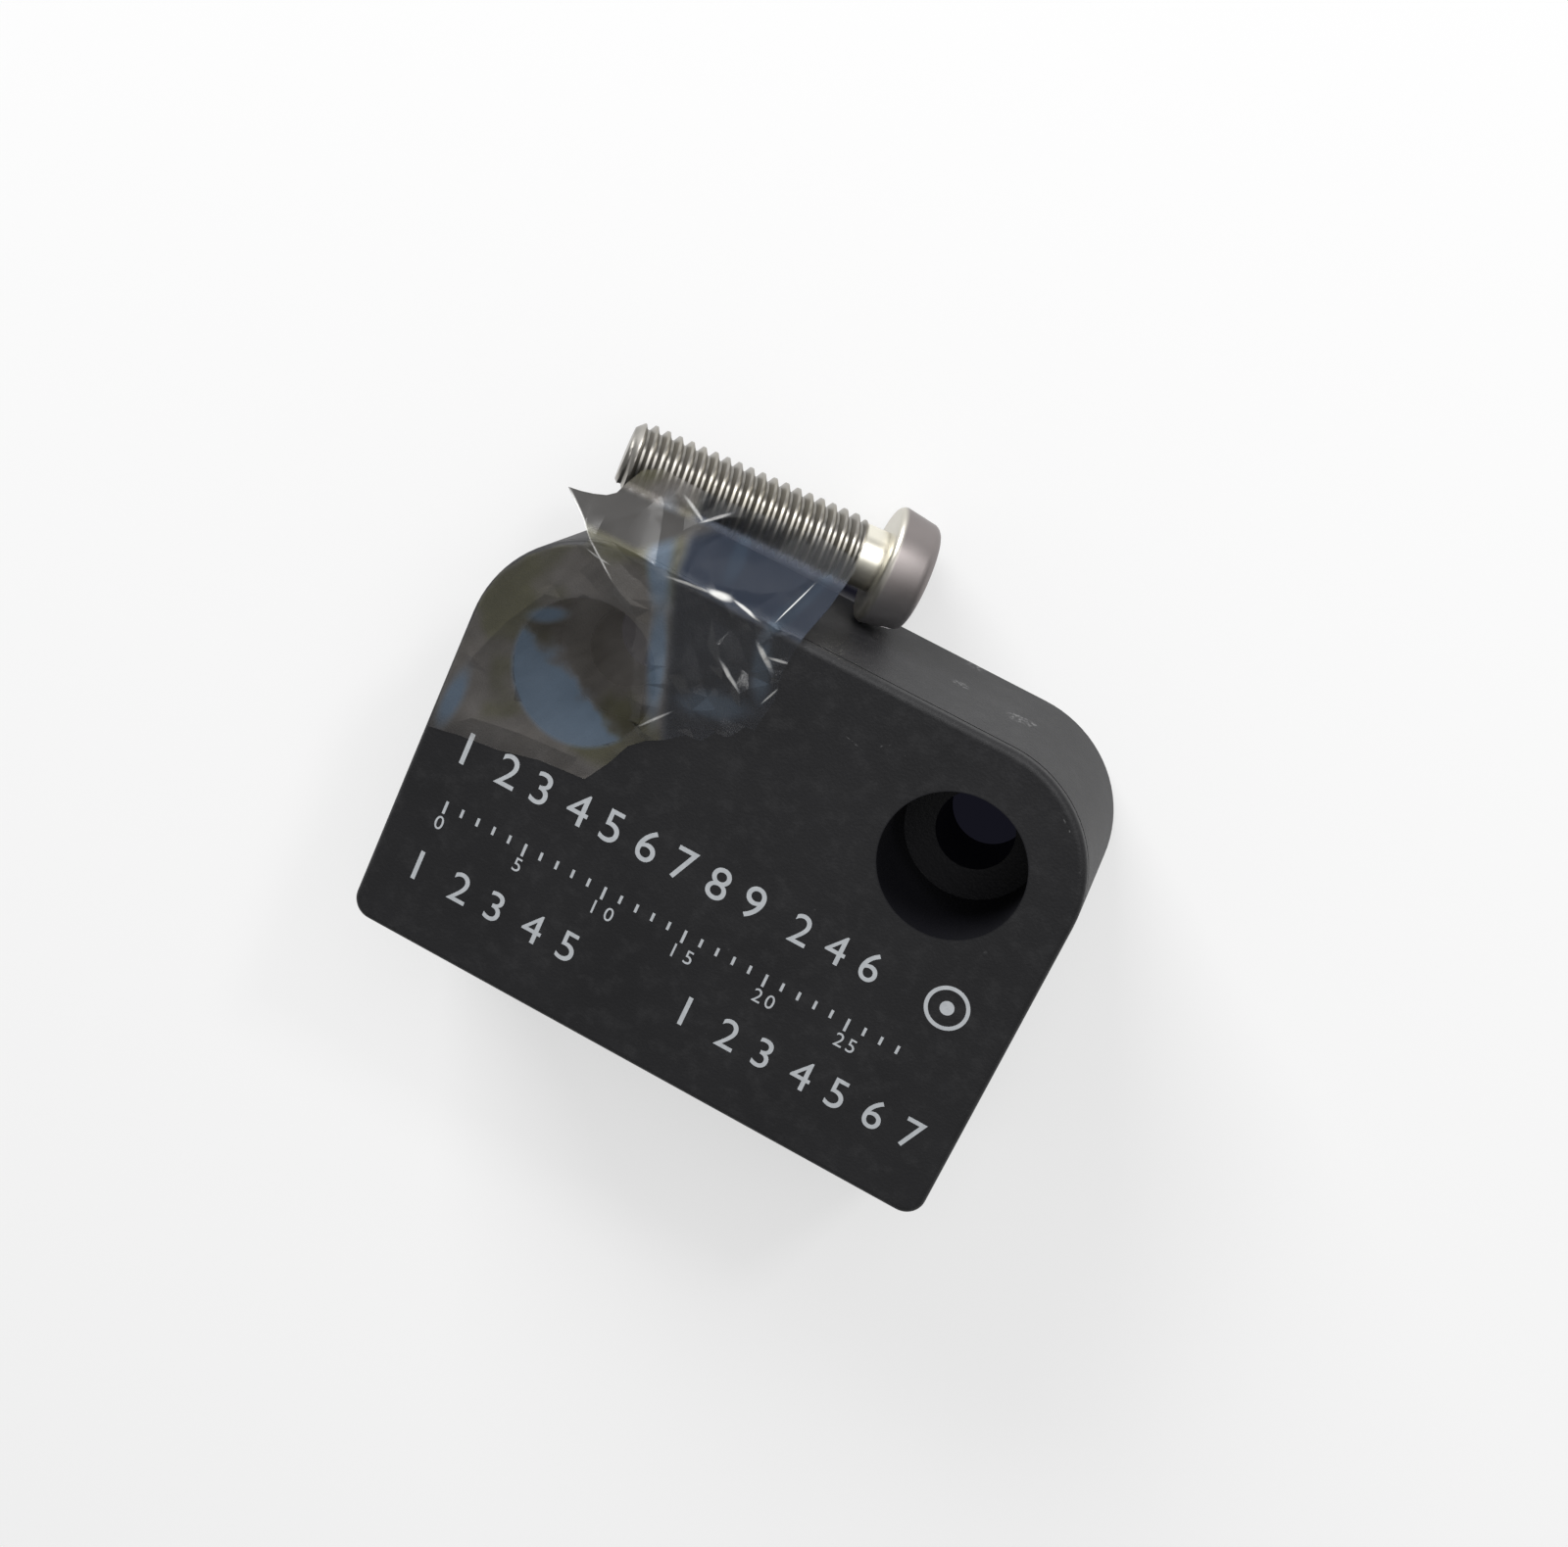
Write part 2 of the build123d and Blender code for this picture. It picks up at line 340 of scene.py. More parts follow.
def spot(finish, centre, radius):
    """1 within a ball round a centre, 0 outside, soft at its edge."""
    away = finish.add("ShaderNodeVectorMath", {0: finish.place, 1: centre}, operation="DISTANCE")
    return finish.math("SUBTRACT", 1.0, finish.above(away.outputs["Value"], 0.6 * radius, radius))


def stroke(finish, centre, turn, length, width):
    """1 on a short straight mark seen from above, 0 off it."""
    size = (length / 2, width / 2, 0)
    reach = finish.add("ShaderNodeVectorMath", {0: finish.moved(centre, turn, size)}, operation="LENGTH")
    return finish.math("SUBTRACT", 1.0, finish.above(reach.outputs["Value"], 0.3, 1.0))


def moulded_plastic():
    """Black moulded plastic with a fine grain, dust, scratches and scuffs, and painted shade in the open
    seat.
    """
    finish = Finish("moulded_plastic", roughness=0.52, specular=0.36)
    blacks = (0.006, 0.006, 0.007), (0.013, 0.013, 0.0145)
    dust_grey, speck_grey, mark_grey = (0.06, 0.06, 0.062), (0.16, 0.16, 0.16), (0.17, 0.17, 0.17)
    seat_painted_shade = (0.0025, 0.0025, 0.0045)
    cloud = finish.noise(6 * MM, detail=3)
    grain = finish.noise(0.16 * MM, detail=3, roughness=0.6)
    specks = finish.above(finish.noise(0.45 * MM, detail=1), 0.78, 0.84)
    dust = finish.above(finish.noise(1.1 * MM, detail=5, roughness=0.7), 0.46, 0.72)
    colour = finish.blend(finish.math("MULTIPLY", dust, 0.14), finish.blend(cloud, *blacks), dust_grey)
    colour = finish.blend(finish.math("MULTIPLY", specks, 0.12), colour, speck_grey)
    colour = finish.blend(wear(finish), colour, mark_grey)
    # Painted shade: the open right seat is darker than the rest of the shell, as shade in its recess
    across = finish.moved(right_hole, 0.0, (1, 1, 0))
    from_axis = finish.add("ShaderNodeVectorMath", {0: across}, operation="LENGTH").outputs["Value"]
    in_seat = finish.math("SUBTRACT", 1.0, finish.above(from_axis, seat_radius, seat_radius + 0.1 * MM))
    finish.colour(finish.blend(in_seat, colour, seat_painted_shade))
    finish.feed(finish.surface.inputs["Roughness"], finish.between(cloud, 0.46, 0.6))
    finish.bump(grain, 0.028 * MM, 0.8)
    return finish.material


def wear(finish):
    """Pale scratches on the face and scuffs on the top side, broken up by a fine pattern."""
    broken = finish.above(finish.noise(0.22 * MM, detail=4, roughness=0.7), 0.48, 0.66)
    marks = 0.0
    for centre, turn, length, width in scratches:
        mark = stroke(finish, Vector(centre) * MM, radians(turn), length * MM, width * MM)
        marks = finish.math("MAXIMUM", marks, mark)
    for centre, radius in scuffs:
        marks = finish.math("MAXIMUM", marks, spot(finish, Vector(centre) * MM, radius * MM))
    return finish.math("MULTIPLY", marks, finish.math("MULTIPLY", broken, 0.9))


def zinc_steel():
    """Zinc-plated steel: a painted highlight on the neck, painted shade down in the thread's grooves,
    brown-grey on the head, with a painted reflection on its side towards the housing.
    """
    finish = Finish("zinc_steel", roughness=0.34, metallic=1.0)
    zincs, browns = ((0.38, 0.355, 0.29), (0.37, 0.36, 0.355)), ((0.25, 0.225, 0.22), (0.33, 0.30, 0.295))
    groove_painted_shade, neck_painted_highlight, reflection_grey = (0.17, 0.165, 0.155), (0.92, 0.89, 0.78), (0.62, 0.60, 0.605)
    patches = finish.noise(2.2 * MM, detail=3)
    groove = finish.add("ShaderNodeAttribute", attribute_name="groove").outputs["Fac"]
    # Painted shade down in the thread's grooves
    zinc = finish.blend(finish.math("MULTIPLY", groove, 0.45), finish.blend(patches, *zincs), groove_painted_shade)

    # Along the screw from the face under its head: the neck before it, the head after it
    along = finish.add("ShaderNodeVectorMath", {0: finish.moved(screw_bearing), 1: screw_axis},
                       operation="DOT_PRODUCT").outputs["Value"]
    # The neck carries a painted highlight, fainter next to the face under the head
    highlight_on_neck = finish.above(along, -neck_length, 0.2 * MM - neck_length)
    under_head = finish.above(along, -0.25 * MM, -0.02 * MM)
    highlight_on_neck = finish.math("MULTIPLY", highlight_on_neck, finish.between(under_head, 1.0, 0.45))
    zinc = finish.blend(highlight_on_neck, zinc, neck_painted_highlight)
    on_head = finish.above(along, 0.12 * MM, 0.45 * MM)

    # The head's side towards the housing is paler, a painted reflection
    across = finish.add("ShaderNodeSeparateXYZ", {0: finish.place}).outputs["Y"]
    reflection_share = finish.past(across, head_painted_reflection)
    brown = finish.blend(reflection_share, finish.blend(patches, *browns), reflection_grey)
    finish.colour(finish.blend(on_head, zinc, brown))
    dull = finish.math("MULTIPLY_ADD", on_head, 0.14, finish.between(patches, 0.26, 0.42))
    finish.feed(finish.surface.inputs["Roughness"], dull)
    finish.bump(finish.noise(0.12 * MM, detail=2), 0.004 * MM, 0.5)
    return finish.material


def strokes(finish, lines):
    """1 along thin lines given by their ends in millimetres and their width, fading at both ends."""
    faded_length = 1.15
    share = 0.0
    for start, end, width in lines:
        start, end = Vector((*start, 0)) * MM, Vector((*end, 0)) * MM
        run = end - start
        turn = -Vector((1, 0)).angle_signed(run.xy, 0)
        mark = stroke(finish, (start + end) / 2, turn, run.length * faded_length, width * MM)
        share = finish.math("MAXIMUM", share, mark)
    return share


def clear_film():
    """Thin clear film: brownish haze, painted bluish reflections on its folds, grey where it is folded
    double, painted glints along crease lines, painted shade over the gap between block and screw.
    """
    finish = Finish("clear_film", roughness=0.35, specular=0.5)
    cloud = finish.noise(3.0 * MM, detail=3)
    parts = film_parts(finish)
    finish.colour(film_tone(finish, parts, cloud))
    finish.feed(finish.surface.inputs["Alpha"], film_haze(finish, parts, cloud))
    matt = finish.math("MAXIMUM", parts["shade_over_gap"], finish.math("MULTIPLY", parts["double"], 0.7))
    finish.feed(finish.surface.inputs["Specular IOR Level"], finish.between(matt, 0.5, 0.05))

    shine = finish.add("ShaderNodeBsdfGlossy", {"Color": (1, 1, 1, 1), "Roughness": 0.12})
    mirror = finish.math("MULTIPLY", finish.add("ShaderNodeFresnel", {"IOR": 1.45}).outputs[0], 0.05)
    mixed = finish.add("ShaderNodeMixShader", {0: mirror, 1: finish.surface.outputs[0]})
    finish.feed(mixed.inputs[2], shine.outputs[0])
    finish.feed(finish.output.inputs["Surface"], mixed.outputs[0])
    return finish.material


def film_parts(finish):
    """The film's parts by name, each 1 where the part is and 0 elsewhere."""
    math = finish.math
    flat = finish.add("ShaderNodeSeparateXYZ", {0: finish.place}).outputs
    over_gap = math("SUBTRACT", finish.past(flat["Y"], gap_start), finish.past(flat["Y"], gap_end))
    spike = finish.past(math("MULTIPLY_ADD", flat["X"], spike_slant, flat["Y"]), spike_border)
    thin = finish.past(math("MULTIPLY_ADD", flat["Y"], thin_slant, flat["X"]), thin_border)
    in_hole, crescent = over_left_hole(finish)
    return {
        # Painted glints along the crease lines
        "lines": strokes(finish, film_painted_glints),
        # Painted bluish reflections on the folds and on the crescent over the hole
        "blue": math("MAXIMUM", strokes(finish, film_reflected_marks), crescent),
        "in_hole": in_hole,
        "double": math("MULTIPLY", spike, over_gap),
        "thin": thin,
        # Painted shade: the thin film over the gap between block and screw is darkened
        "shade_over_gap": math("MULTIPLY", thin, over_gap),
        "above_foot": finish.past(flat["Y"], foot_border),
    }


def over_left_hole(finish):
    """1 where the film sags into the left seat, and 1 on the ragged crescent of painted bluish reflection
    there.
    """
    away = finish.add("ShaderNodeVectorMath", {0: finish.place, 1: left_hole}, operation="DISTANCE")
    rim = seat_radius - 0.1 * MM, seat_radius + 0.3 * MM
    in_hole = finish.math("SUBTRACT", 1.0, finish.above(away.outputs["Value"], *rim))
    side = finish.moved(Vector(crescent_side) * MM, radians(crescent_turn))
    ragged = finish.between(finish.noise(1.6 * MM, detail=3), -crescent_ragged * MM, crescent_ragged * MM)
    across = finish.math("ADD", finish.add("ShaderNodeSeparateXYZ", {0: side}).outputs["Y"], ragged)
    return in_hole, finish.math("MULTIPLY", in_hole, finish.past(across, crescent_border))


def film_tone(finish, parts, cloud):
    """The colour of the film's haze, with its painted reflections, painted shade and painted glints."""
    browns = (0.29, 0.26, 0.22), (0.36, 0.34, 0.33)
    olive, thin_grey, reflected_blue = (0.23, 0.22, 0.13), (0.14, 0.165, 0.22), (0.19, 0.26, 0.35)
    shade_navy, double_grey, glint_white = (0.012, 0.018, 0.032), (0.058, 0.056, 0.054), (0.8, 0.8, 0.78)
    stained = finish.above(finish.noise(4.5 * MM, detail=2), 0.5, 0.65)
    tone = finish.blend(stained, finish.blend(cloud, *browns), olive)
    tone = finish.blend(parts["thin"], tone, thin_grey)
    # Painted bluish reflections
    tone = finish.blend(parts["blue"], tone, reflected_blue)
    # Painted shade over the gap
    tone = finish.blend(finish.math("MULTIPLY", parts["shade_over_gap"], 0.88), tone, shade_navy)
    tone = finish.blend(parts["double"], tone, double_grey)
    # Painted glints
    return finish.blend(parts["lines"], tone, glint_white)


def film_haze(finish, parts, cloud):
    """How much the film hides: streaks, less where it is thin, over the hole and at its foot."""
    math = finish.math
    streaky = finish.moved((0, 0, 0), radians(streak_turn), Vector(streak_size) * MM)
    streaks = finish.noise(1.0, detail=3, place=streaky)
    haze = math("ADD", finish.between(streaks, 0.0, 0.06), finish.between(cloud, 0.02, 0.12))
    clearer = math("MAXIMUM", parts["thin"], math("MULTIPLY", parts["in_hole"], 0.35))
    haze = math("MULTIPLY", haze, finish.between(clearer, 1.0, 0.15))
    haze = math("MULTIPLY", haze, finish.between(parts["above_foot"], 0.4, 1.0))
    # The painted bluish reflections hide more
    haze = math("MULTIPLY_ADD", parts["blue"], finish.between(parts["thin"], 0.11, 0.055), haze)
    # The painted shade over the gap hides more
    haze = math("MULTIPLY_ADD", parts["shade_over_gap"], 0.5, haze)
    haze = math("MULTIPLY_ADD", parts["double"], 0.78, haze)
    broken = finish.between(finish.noise(0.7 * MM, detail=1), 0.2, 1.6)
    # The painted glints hide more, broken up
    return finish.limited(math("MULTIPLY_ADD", math("MULTIPLY", parts["lines"], broken), 0.17, haze))


def pad_ink():
    """Pale grey printing ink, thin in places."""
    finish = Finish("pad_ink", roughness=0.6, specular=0.3)
    full = finish.noise(0.3 * MM, detail=3)
    finish.colour(finish.blend(full, (0.34, 0.36, 0.38), (0.50, 0.52, 0.54)))
    return finish.material


def cast_resin():
    """Black cast resin, smooth, with a slow ripple from setting."""
    finish = Finish("cast_resin", roughness=0.2, specular=0.5)
    ripple = finish.noise(5 * MM, detail=2)
    finish.colour(finish.blend(ripple, (0.012, 0.012, 0.012), (0.022, 0.021, 0.02)))
    finish.feed(finish.surface.inputs["Roughness"], finish.between(ripple, 0.14, 0.32))
    finish.bump(ripple, 0.15 * MM, 0.4)
    return finish.material


def ground_ferrite():
    """Dark grey ferrite with the fine lines of grinding."""
    finish = Finish("ground_ferrite", roughness=0.45, specular=0.5)
    size = Vector((1 / 0.6, 1 / 9, 1 / 0.6)) * MM
    lines = finish.noise(1.0, detail=2, place=finish.moved((0, 0, 0), size=size))
    finish.colour(finish.blend(lines, (0.05, 0.05, 0.053), (0.11, 0.11, 0.115)))
    finish.bump(lines, 0.01 * MM, 0.5)
    return finish.material


def natural_plastic():
    """Uncoloured moulded plastic of the carrier."""
    finish = Finish("natural_plastic", roughness=0.5, specular=0.4)
    cloud = finish.noise(4 * MM, detail=2)
    finish.colour(finish.blend(cloud, (0.36, 0.34, 0.30), (0.44, 0.42, 0.37)))
    finish.bump(finish.noise(0.2 * MM, detail=2), 0.015 * MM, 0.5)
    return finish.material


def pale_floor():
    """Pale floor that shows near white to the camera and keeps the shadow, with painted shade under block and
    film.
    """
    finish = Finish("pale_floor", roughness=0.8, specular=0.1)
    clear = finish.math("MULTIPLY", clear_of(finish, *under_block), clear_of(finish, *under_film))
    finish.colour(finish.blend(clear, floor_painted_shade, floor_white))
    glow = finish.add("ShaderNodeEmission", {"Color": finish.blend(clear, painted_shade_glow, floor_glow)})
    mixed = finish.add("ShaderNodeMixShader", {0: finish.math("MULTIPLY", seen_directly(finish), glow_share)})
    finish.feed(mixed.inputs[1], finish.surface.outputs[0])
    finish.feed(mixed.inputs[2], glow.outputs[0])
    finish.feed(finish.output.inputs["Surface"], mixed.outputs[0])
    return finish.material


def clear_of(finish, centre, half, soft):
    """0 inside a rectangle of the floor and 1 outside it, smooth over a soft border inside its edge."""
    flat = finish.add("ShaderNodeSeparateXYZ", {0: finish.moved(Vector((*centre, 0)) * MM)}).outputs
    past = [finish.math("SUBTRACT", finish.math("ABSOLUTE", flat[axis]), reach * MM)
            for axis, reach in zip("XY", half)]
    return finish.above(finish.math("MAXIMUM", *past), -soft * MM, 0.0)


def seen_directly(graph):
    """1 for what the camera sees, mirrored in metal or through the film too."""
    path = graph.add("ShaderNodeLightPath")
    mirrored = graph.math("MAXIMUM", path.outputs["Is Glossy Ray"], path.outputs["Is Transmission Ray"])
    return graph.math("MAXIMUM", path.outputs["Is Camera Ray"], mirrored)


def as_mesh(source, name):
    """A plain mesh object from an object with modifiers, a curve or a text, which goes."""
    bpy.context.view_layer.update()
    graph = bpy.context.evaluated_depsgraph_get()
    mesh = bpy.data.meshes.new_from_object(source.evaluated_get(graph))
    bpy.data.objects.remove(source)
    return linked(bpy.data.objects.new(name, mesh))


def linked(thing):
    bpy.context.scene.collection.objects.link(thing)
    return thing


def from_bmesh(shape, name, merge=merge_distance):
    """An object from a bmesh, its doubles merged and its faces turned outwards."""
    bmesh.ops.remove_doubles(shape, verts=shape.verts, dist=merge)
    bmesh.ops.recalc_face_normals(shape, faces=shape.faces)
    mesh = bpy.data.meshes.new(name)
    shape.to_mesh(mesh)
    shape.free()
    return linked(bpy.data.objects.new(name, mesh))


def joined(pieces, name):
    """Several mesh objects as one, each in its place."""
    shape = bmesh.new()
    for piece in pieces:
        piece.data.transform(piece.matrix_world)
        shape.from_mesh(piece.data)
        bpy.data.objects.remove(piece)
    return from_bmesh(shape, name, fine_merge_distance)


def smooth(piece, angle):
    """Smooth shading with sharp edges kept where faces turn by more than an angle."""
    piece.data.shade_smooth()
    piece.data.set_sharp_from_angle(angle=radians(angle))


def paint(piece, material):
    """Gives a mesh object one material in place of any that it has."""
    piece.data.materials.clear()
    piece.data.materials.append(material)


def geometry_tree(name, sizes):
    """A geometry tree with named inputs and one geometry output, and its input node."""
    tree = bpy.data.node_groups.new(name, "GeometryNodeTree")
    for size, kind in sizes.items():
        tree.interface.new_socket(name=size, in_out="INPUT", socket_type=kind)
    tree.interface.new_socket(name="Geometry", in_out="OUTPUT", socket_type="NodeSocketGeometry")
    graph = Graph(tree)
    return graph, graph.add("NodeGroupInput").outputs


def finish_tree(graph, geometry):
    """Ends a tree: real geometry, with the material that its input names."""
    real = graph.add("GeometryNodeRealizeInstances", {"Geometry": geometry})
    painted = graph.add("GeometryNodeSetMaterial", {"Geometry": real.outputs[0]})
    graph.feed(painted.inputs["Material"], graph.tree.nodes["Group Input"].outputs["Material"])
    graph.add("NodeGroupOutput", {"Geometry": painted.outputs[0]})
    return graph.tree


def grown(tree, name, values):
    """The plain mesh that a tree makes from the values of its inputs."""
    holder = linked(bpy.data.objects.new(name + "_tree", bpy.data.meshes.new(name)))
    modifier = holder.modifiers.new(name, "NODES")
    modifier.node_group = tree
    for socket in tree.interface.items_tree:
        if socket.in_out == "INPUT" and socket.name in values:
            modifier[socket.identifier] = values[socket.name]
    return as_mesh(holder, name)


def thread_tree():
    """Wraps a flat grid into a closed rod with a cut thread, its rows along the helix."""
    number, count = "NodeSocketFloat", "NodeSocketInt"
    flats = crest_flat + root_flat
    graph, given = geometry_tree("cut_thread", {
        "Pitch": number, "Thread Radius": number, "Core Radius": number, "Length": number, "Run": number,
        "Tip Radius": number, "End Radius": number, "Ring Points": count, "Rows": count,
        "Material": "NodeSocketMaterial",
    })
    math = graph.math
    around = math("ADD", given["Ring Points"], 1)
    grid = graph.add("GeometryNodeMeshGrid", {"Size X": 1, "Size Y": 1, "Vertices X": around,
                                              "Vertices Y": given["Rows"]})
    flat = graph.add("ShaderNodeSeparateXYZ", {0: graph.add("GeometryNodeInputPosition").outputs[0]})
    turn = math("ADD", flat.outputs["X"], 0.5)
    climb = math("MULTIPLY", turn, given["Pitch"])
    run = math("MULTIPLY", math("ADD", flat.outputs["Y"], 0.5), given["Run"])
    along = math("SUBTRACT", math("ADD", run, climb), given["Pitch"])
    along = math("MINIMUM", math("MAXIMUM", along, 0.0), given["Length"])
    phase = math("FRACT", math("DIVIDE", math("SUBTRACT", along, climb), given["Pitch"]))
    from_crest = math("ABSOLUTE", math("MULTIPLY_ADD", phase, 2.0, -1.0))
    groove = graph.limited(math("DIVIDE", math("SUBTRACT", from_crest, crest_flat), 1 - flats))
    depth = math("SUBTRACT", given["Thread Radius"], given["Core Radius"])
    radius = math("SUBTRACT", given["Thread Radius"], math("MULTIPLY", groove, depth))
    left = math("SUBTRACT", given["Length"], along)
    radius = math("MINIMUM", radius, math("ADD", given["Tip Radius"], along))
    radius = math("MINIMUM", radius, math("ADD", given["End Radius"], left))
    radius = math("MAXIMUM", radius, math("SUBTRACT", given["End Radius"], left))
    angle = math("MULTIPLY", turn, 2 * pi)
    across = math("MULTIPLY", radius, math("COSINE", angle))
    up = math("MULTIPLY", radius, math("SINE", angle))
    place = graph.add("ShaderNodeCombineXYZ", {"X": across, "Y": up, "Z": along})
    kept = graph.add("GeometryNodeStoreNamedAttribute", {"Geometry": grid.outputs["Mesh"], "Name": "groove",
                                                         "Value": groove}, data_type="FLOAT", domain="POINT")
    wrapped = graph.add("GeometryNodeSetPosition", {"Geometry": kept.outputs[0],
                                                    "Position": place.outputs[0]})
    ends = [wrapped.outputs[0]]
    for rim, height in (("Tip Radius", 0.0), ("End Radius", given["Length"])):
        disc = graph.add("GeometryNodeMeshCircle", {"Vertices": given["Ring Points"], "Radius": given[rim]},
                         fill_type="NGON")
        lift = graph.add("ShaderNodeCombineXYZ", {"Z": height})
        ends.append(graph.add("GeometryNodeTransform", {"Geometry": disc.outputs[0],
                                                        "Translation": lift.outputs[0]}).outputs[0])
    both = graph.add("GeometryNodeJoinGeometry")
    for end in ends:
        graph.feed(both.inputs[0], end)
    closed = graph.add("GeometryNodeMergeByDistance", {"Geometry": both.outputs[0],
                                                       "Distance": thread_merge_distance})
    return finish_tree(graph, closed.outputs[0])


def arc(centre, radius, start, end, steps=6):
    """Points of a profile round a centre, from one angle to another in degrees."""
    angles = [radians(start + (end - start) * i / steps) for i in range(steps + 1)]
    return [(centre[0] + radius * cos(a), centre[1] + radius * sin(a)) for a in angles]


def turned(profile, name, points):
    """A closed solid turned from a profile of (radius, height) that starts and ends on the axis."""
    shape = bmesh.new()
    rings = []
    for radius, height in profile:
        spots = [(radius * cos(2 * pi * i / points), radius * sin(2 * pi * i / points), height)
                 for i in range(points if radius > 0 else 1)]
        rings.append([shape.verts.new(p) for p in spots])
    for low, high in zip(rings, rings[1:]):
        for i in range(points):
            j = (i + 1) % points
            corners = [low[i % len(low)], low[j % len(low)], high[j % len(high)], high[i % len(high)]]
            shape.faces.new(list(dict.fromkeys(corners)))
    return from_bmesh(shape, name)


def screw_head():
    """Neck and cheese head with its screwdriver slot, above the thread."""
    bearing_z = screw_length
    crown_z = bearing_z + head_height
    crown_radius = head_radius - head_height * tan(radians(head_taper))
    edge, rim = head_edge_radius, head_rim_radius
    neck_z = bearing_z - neck_length
    profile = [(0, neck_z), (neck_radius, neck_z), (neck_radius, bearing_z)]
    profile += arc((head_radius - rim, bearing_z + rim), rim, -90, 0)
    profile += arc((crown_radius - edge, crown_z - edge), edge, 0, 90)
    profile.append((0, crown_z + crown_rise))
    head = turned(profile, "screw_head", screw_points)
    cutter = slot_cutter(crown_z)
    cut = head.modifiers.new("slot", "BOOLEAN")
    cut.object = cutter
    cut.operation = "DIFFERENCE"
    cut.solver = "EXACT"
    head = as_mesh(head, "screw_head_cut")
    bpy.data.objects.remove(cutter)
    return head


def slot_cutter(crown_z):
    """Block that cuts the slot, turned about the screw's axis."""
    shape = bmesh.new()
    bmesh.ops.create_cube(shape, size=1)
    bmesh.ops.scale(shape, vec=(slot_width, 3 * head_radius, 2 * slot_depth), verts=shape.verts)
    turn = Matrix.Rotation(radians(slot_turn), 3, "Z")
    bmesh.ops.rotate(shape, cent=(0, 0, 0), matrix=turn, verts=shape.verts)
    bmesh.ops.translate(shape, vec=(0, 0, crown_z), verts=shape.verts)
    return from_bmesh(shape, "slot_cutter")


def screw_lie():
    """Where the screw lies: parallel to the housing's top side, its head on the floor and its tip up."""
    turn = screw_axis.to_track_quat("Z", "Y").to_matrix().to_4x4()
    return Matrix.Translation(screw_bearing - screw_length * screw_axis) @ turn


def mounting_screw(steel):
    """The loose screw with its real thread, in place of the plain CAD screw."""
    thread_length = screw_length - neck_length + thread_in_neck
    steps = ceil(rows_per_turn * (thread_length / thread_pitch + 1))
    thread = grown(thread_tree(), "screw_thread", {
        "Pitch": thread_pitch, "Thread Radius": thread_radius, "Core Radius": core_radius,
        "Length": thread_length, "Tip Radius": thread_radius - tip_chamfer,
        "End Radius": neck_radius - thread_under_neck, "Ring Points": screw_points,
        "Run": steps * thread_pitch / rows_per_turn, "Rows": steps + 1, "Material": steel,
    })
    screw = joined([thread, screw_head()], "mounting_screw_threaded")
    paint(screw, steel)
    screw.data.transform(screw_lie())
    smooth(screw, screw_sharp_angle)
    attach(screw, "screw")
    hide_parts("mounting_screw")


def film_rest_height(x, y):
    """Height of the smooth film in millimetres: level on the face, then down to the screw's thread."""
    edge_y, edge_z = top_y / MM + film_bend_out, face_z / MM + film_clearance
    crest_y = screw_y / MM + film_crest_out
    lean = radians(screw_lean)
    axis_z = screw_bearing.z / MM + (screw_bearing.x / MM - x) * tan(lean)
    crest_z = axis_z + thread_radius / MM / cos(lean) + film_clearance
    share = min(max((y - edge_y) / (crest_y - edge_y), 0), 1)
    return edge_z + share * (crest_z - edge_z)


def from_segment(spot_xy, start, end):
    """Distance of a point from a straight run."""
    near, share = geometry.intersect_point_line(spot_xy, start, end)
    if share < 0 or share > 1:
        return min((spot_xy - start).length, (spot_xy - end).length)
    return (spot_xy - near.xy).length


def film_lift(place):
    """How far the crumpled film stands off the smooth one, in millimetres."""
    lift = 0.0
    for height, width, points in film_creases:
        ends = [Vector(point) for point in points]
        away = min(from_segment(place, a, b) for a, b in zip(ends, ends[1:]))
        lift = max(lift, height * (1 - away / width))
    uneven = uneven_low + uneven_gain * min(max((place.x - uneven_from_x) / uneven_over, 0), 1)
    lift += uneven * abs(noise.noise(Vector((*(place * uneven_scale), uneven_layer))))
    in_hole = 1 - (place - left_hole.xy / MM).length / (seat_radius / MM)
    return lift - hole_sag * min(max(in_hole * 2, 0), 1)


def divided(points, step, closed=False):
    """Points along a line no further apart than a step."""
    ends = [Vector(point) for point in points]
    if closed:
        ends.append(ends[0])
    line = []
    for start, end in zip(ends, ends[1:]):
        count = max(1, round((end - start).length / step))
        line += [start.lerp(end, i / count) for i in range(count)]
    return line if closed else line + [ends[-1]]


def film_facets():
    """The torn film's plan cut into crumpled facets: points and triangles."""
    spots = divided(film_rim, film_step, closed=True)
    rim = list(range(len(spots)))
    edges = []
    for _, _, points in film_creases:
        line = divided(points, film_step)
        edges += [(len(spots) + i, len(spots) + i + 1) for i in range(len(line) - 1)]
        spots += line
    low_x, low_y = min(x for x, y in film_rim), min(y for x, y in film_rim)
    high_x, high_y = max(x for x, y in film_rim), max(y for x, y in film_rim)
    for i in range(int((high_x - low_x) / film_cell) + 1):
        for j in range(int((high_y - low_y) / film_cell) + 1):
            cell = Vector((low_x + i * film_cell, low_y + j * film_cell))
            seed = i * stray_steps[0], j * stray_steps[1]
            stray = Vector([noise.noise(Vector((*seed, layer))) for layer in stray_layers])
            spots.append(cell + stray * film_cell * film_stray)
    inside_only = 1
    found = geometry.delaunay_2d_cdt(spots, edges, [rim], inside_only, film_merge)
    return found[0], found[2]


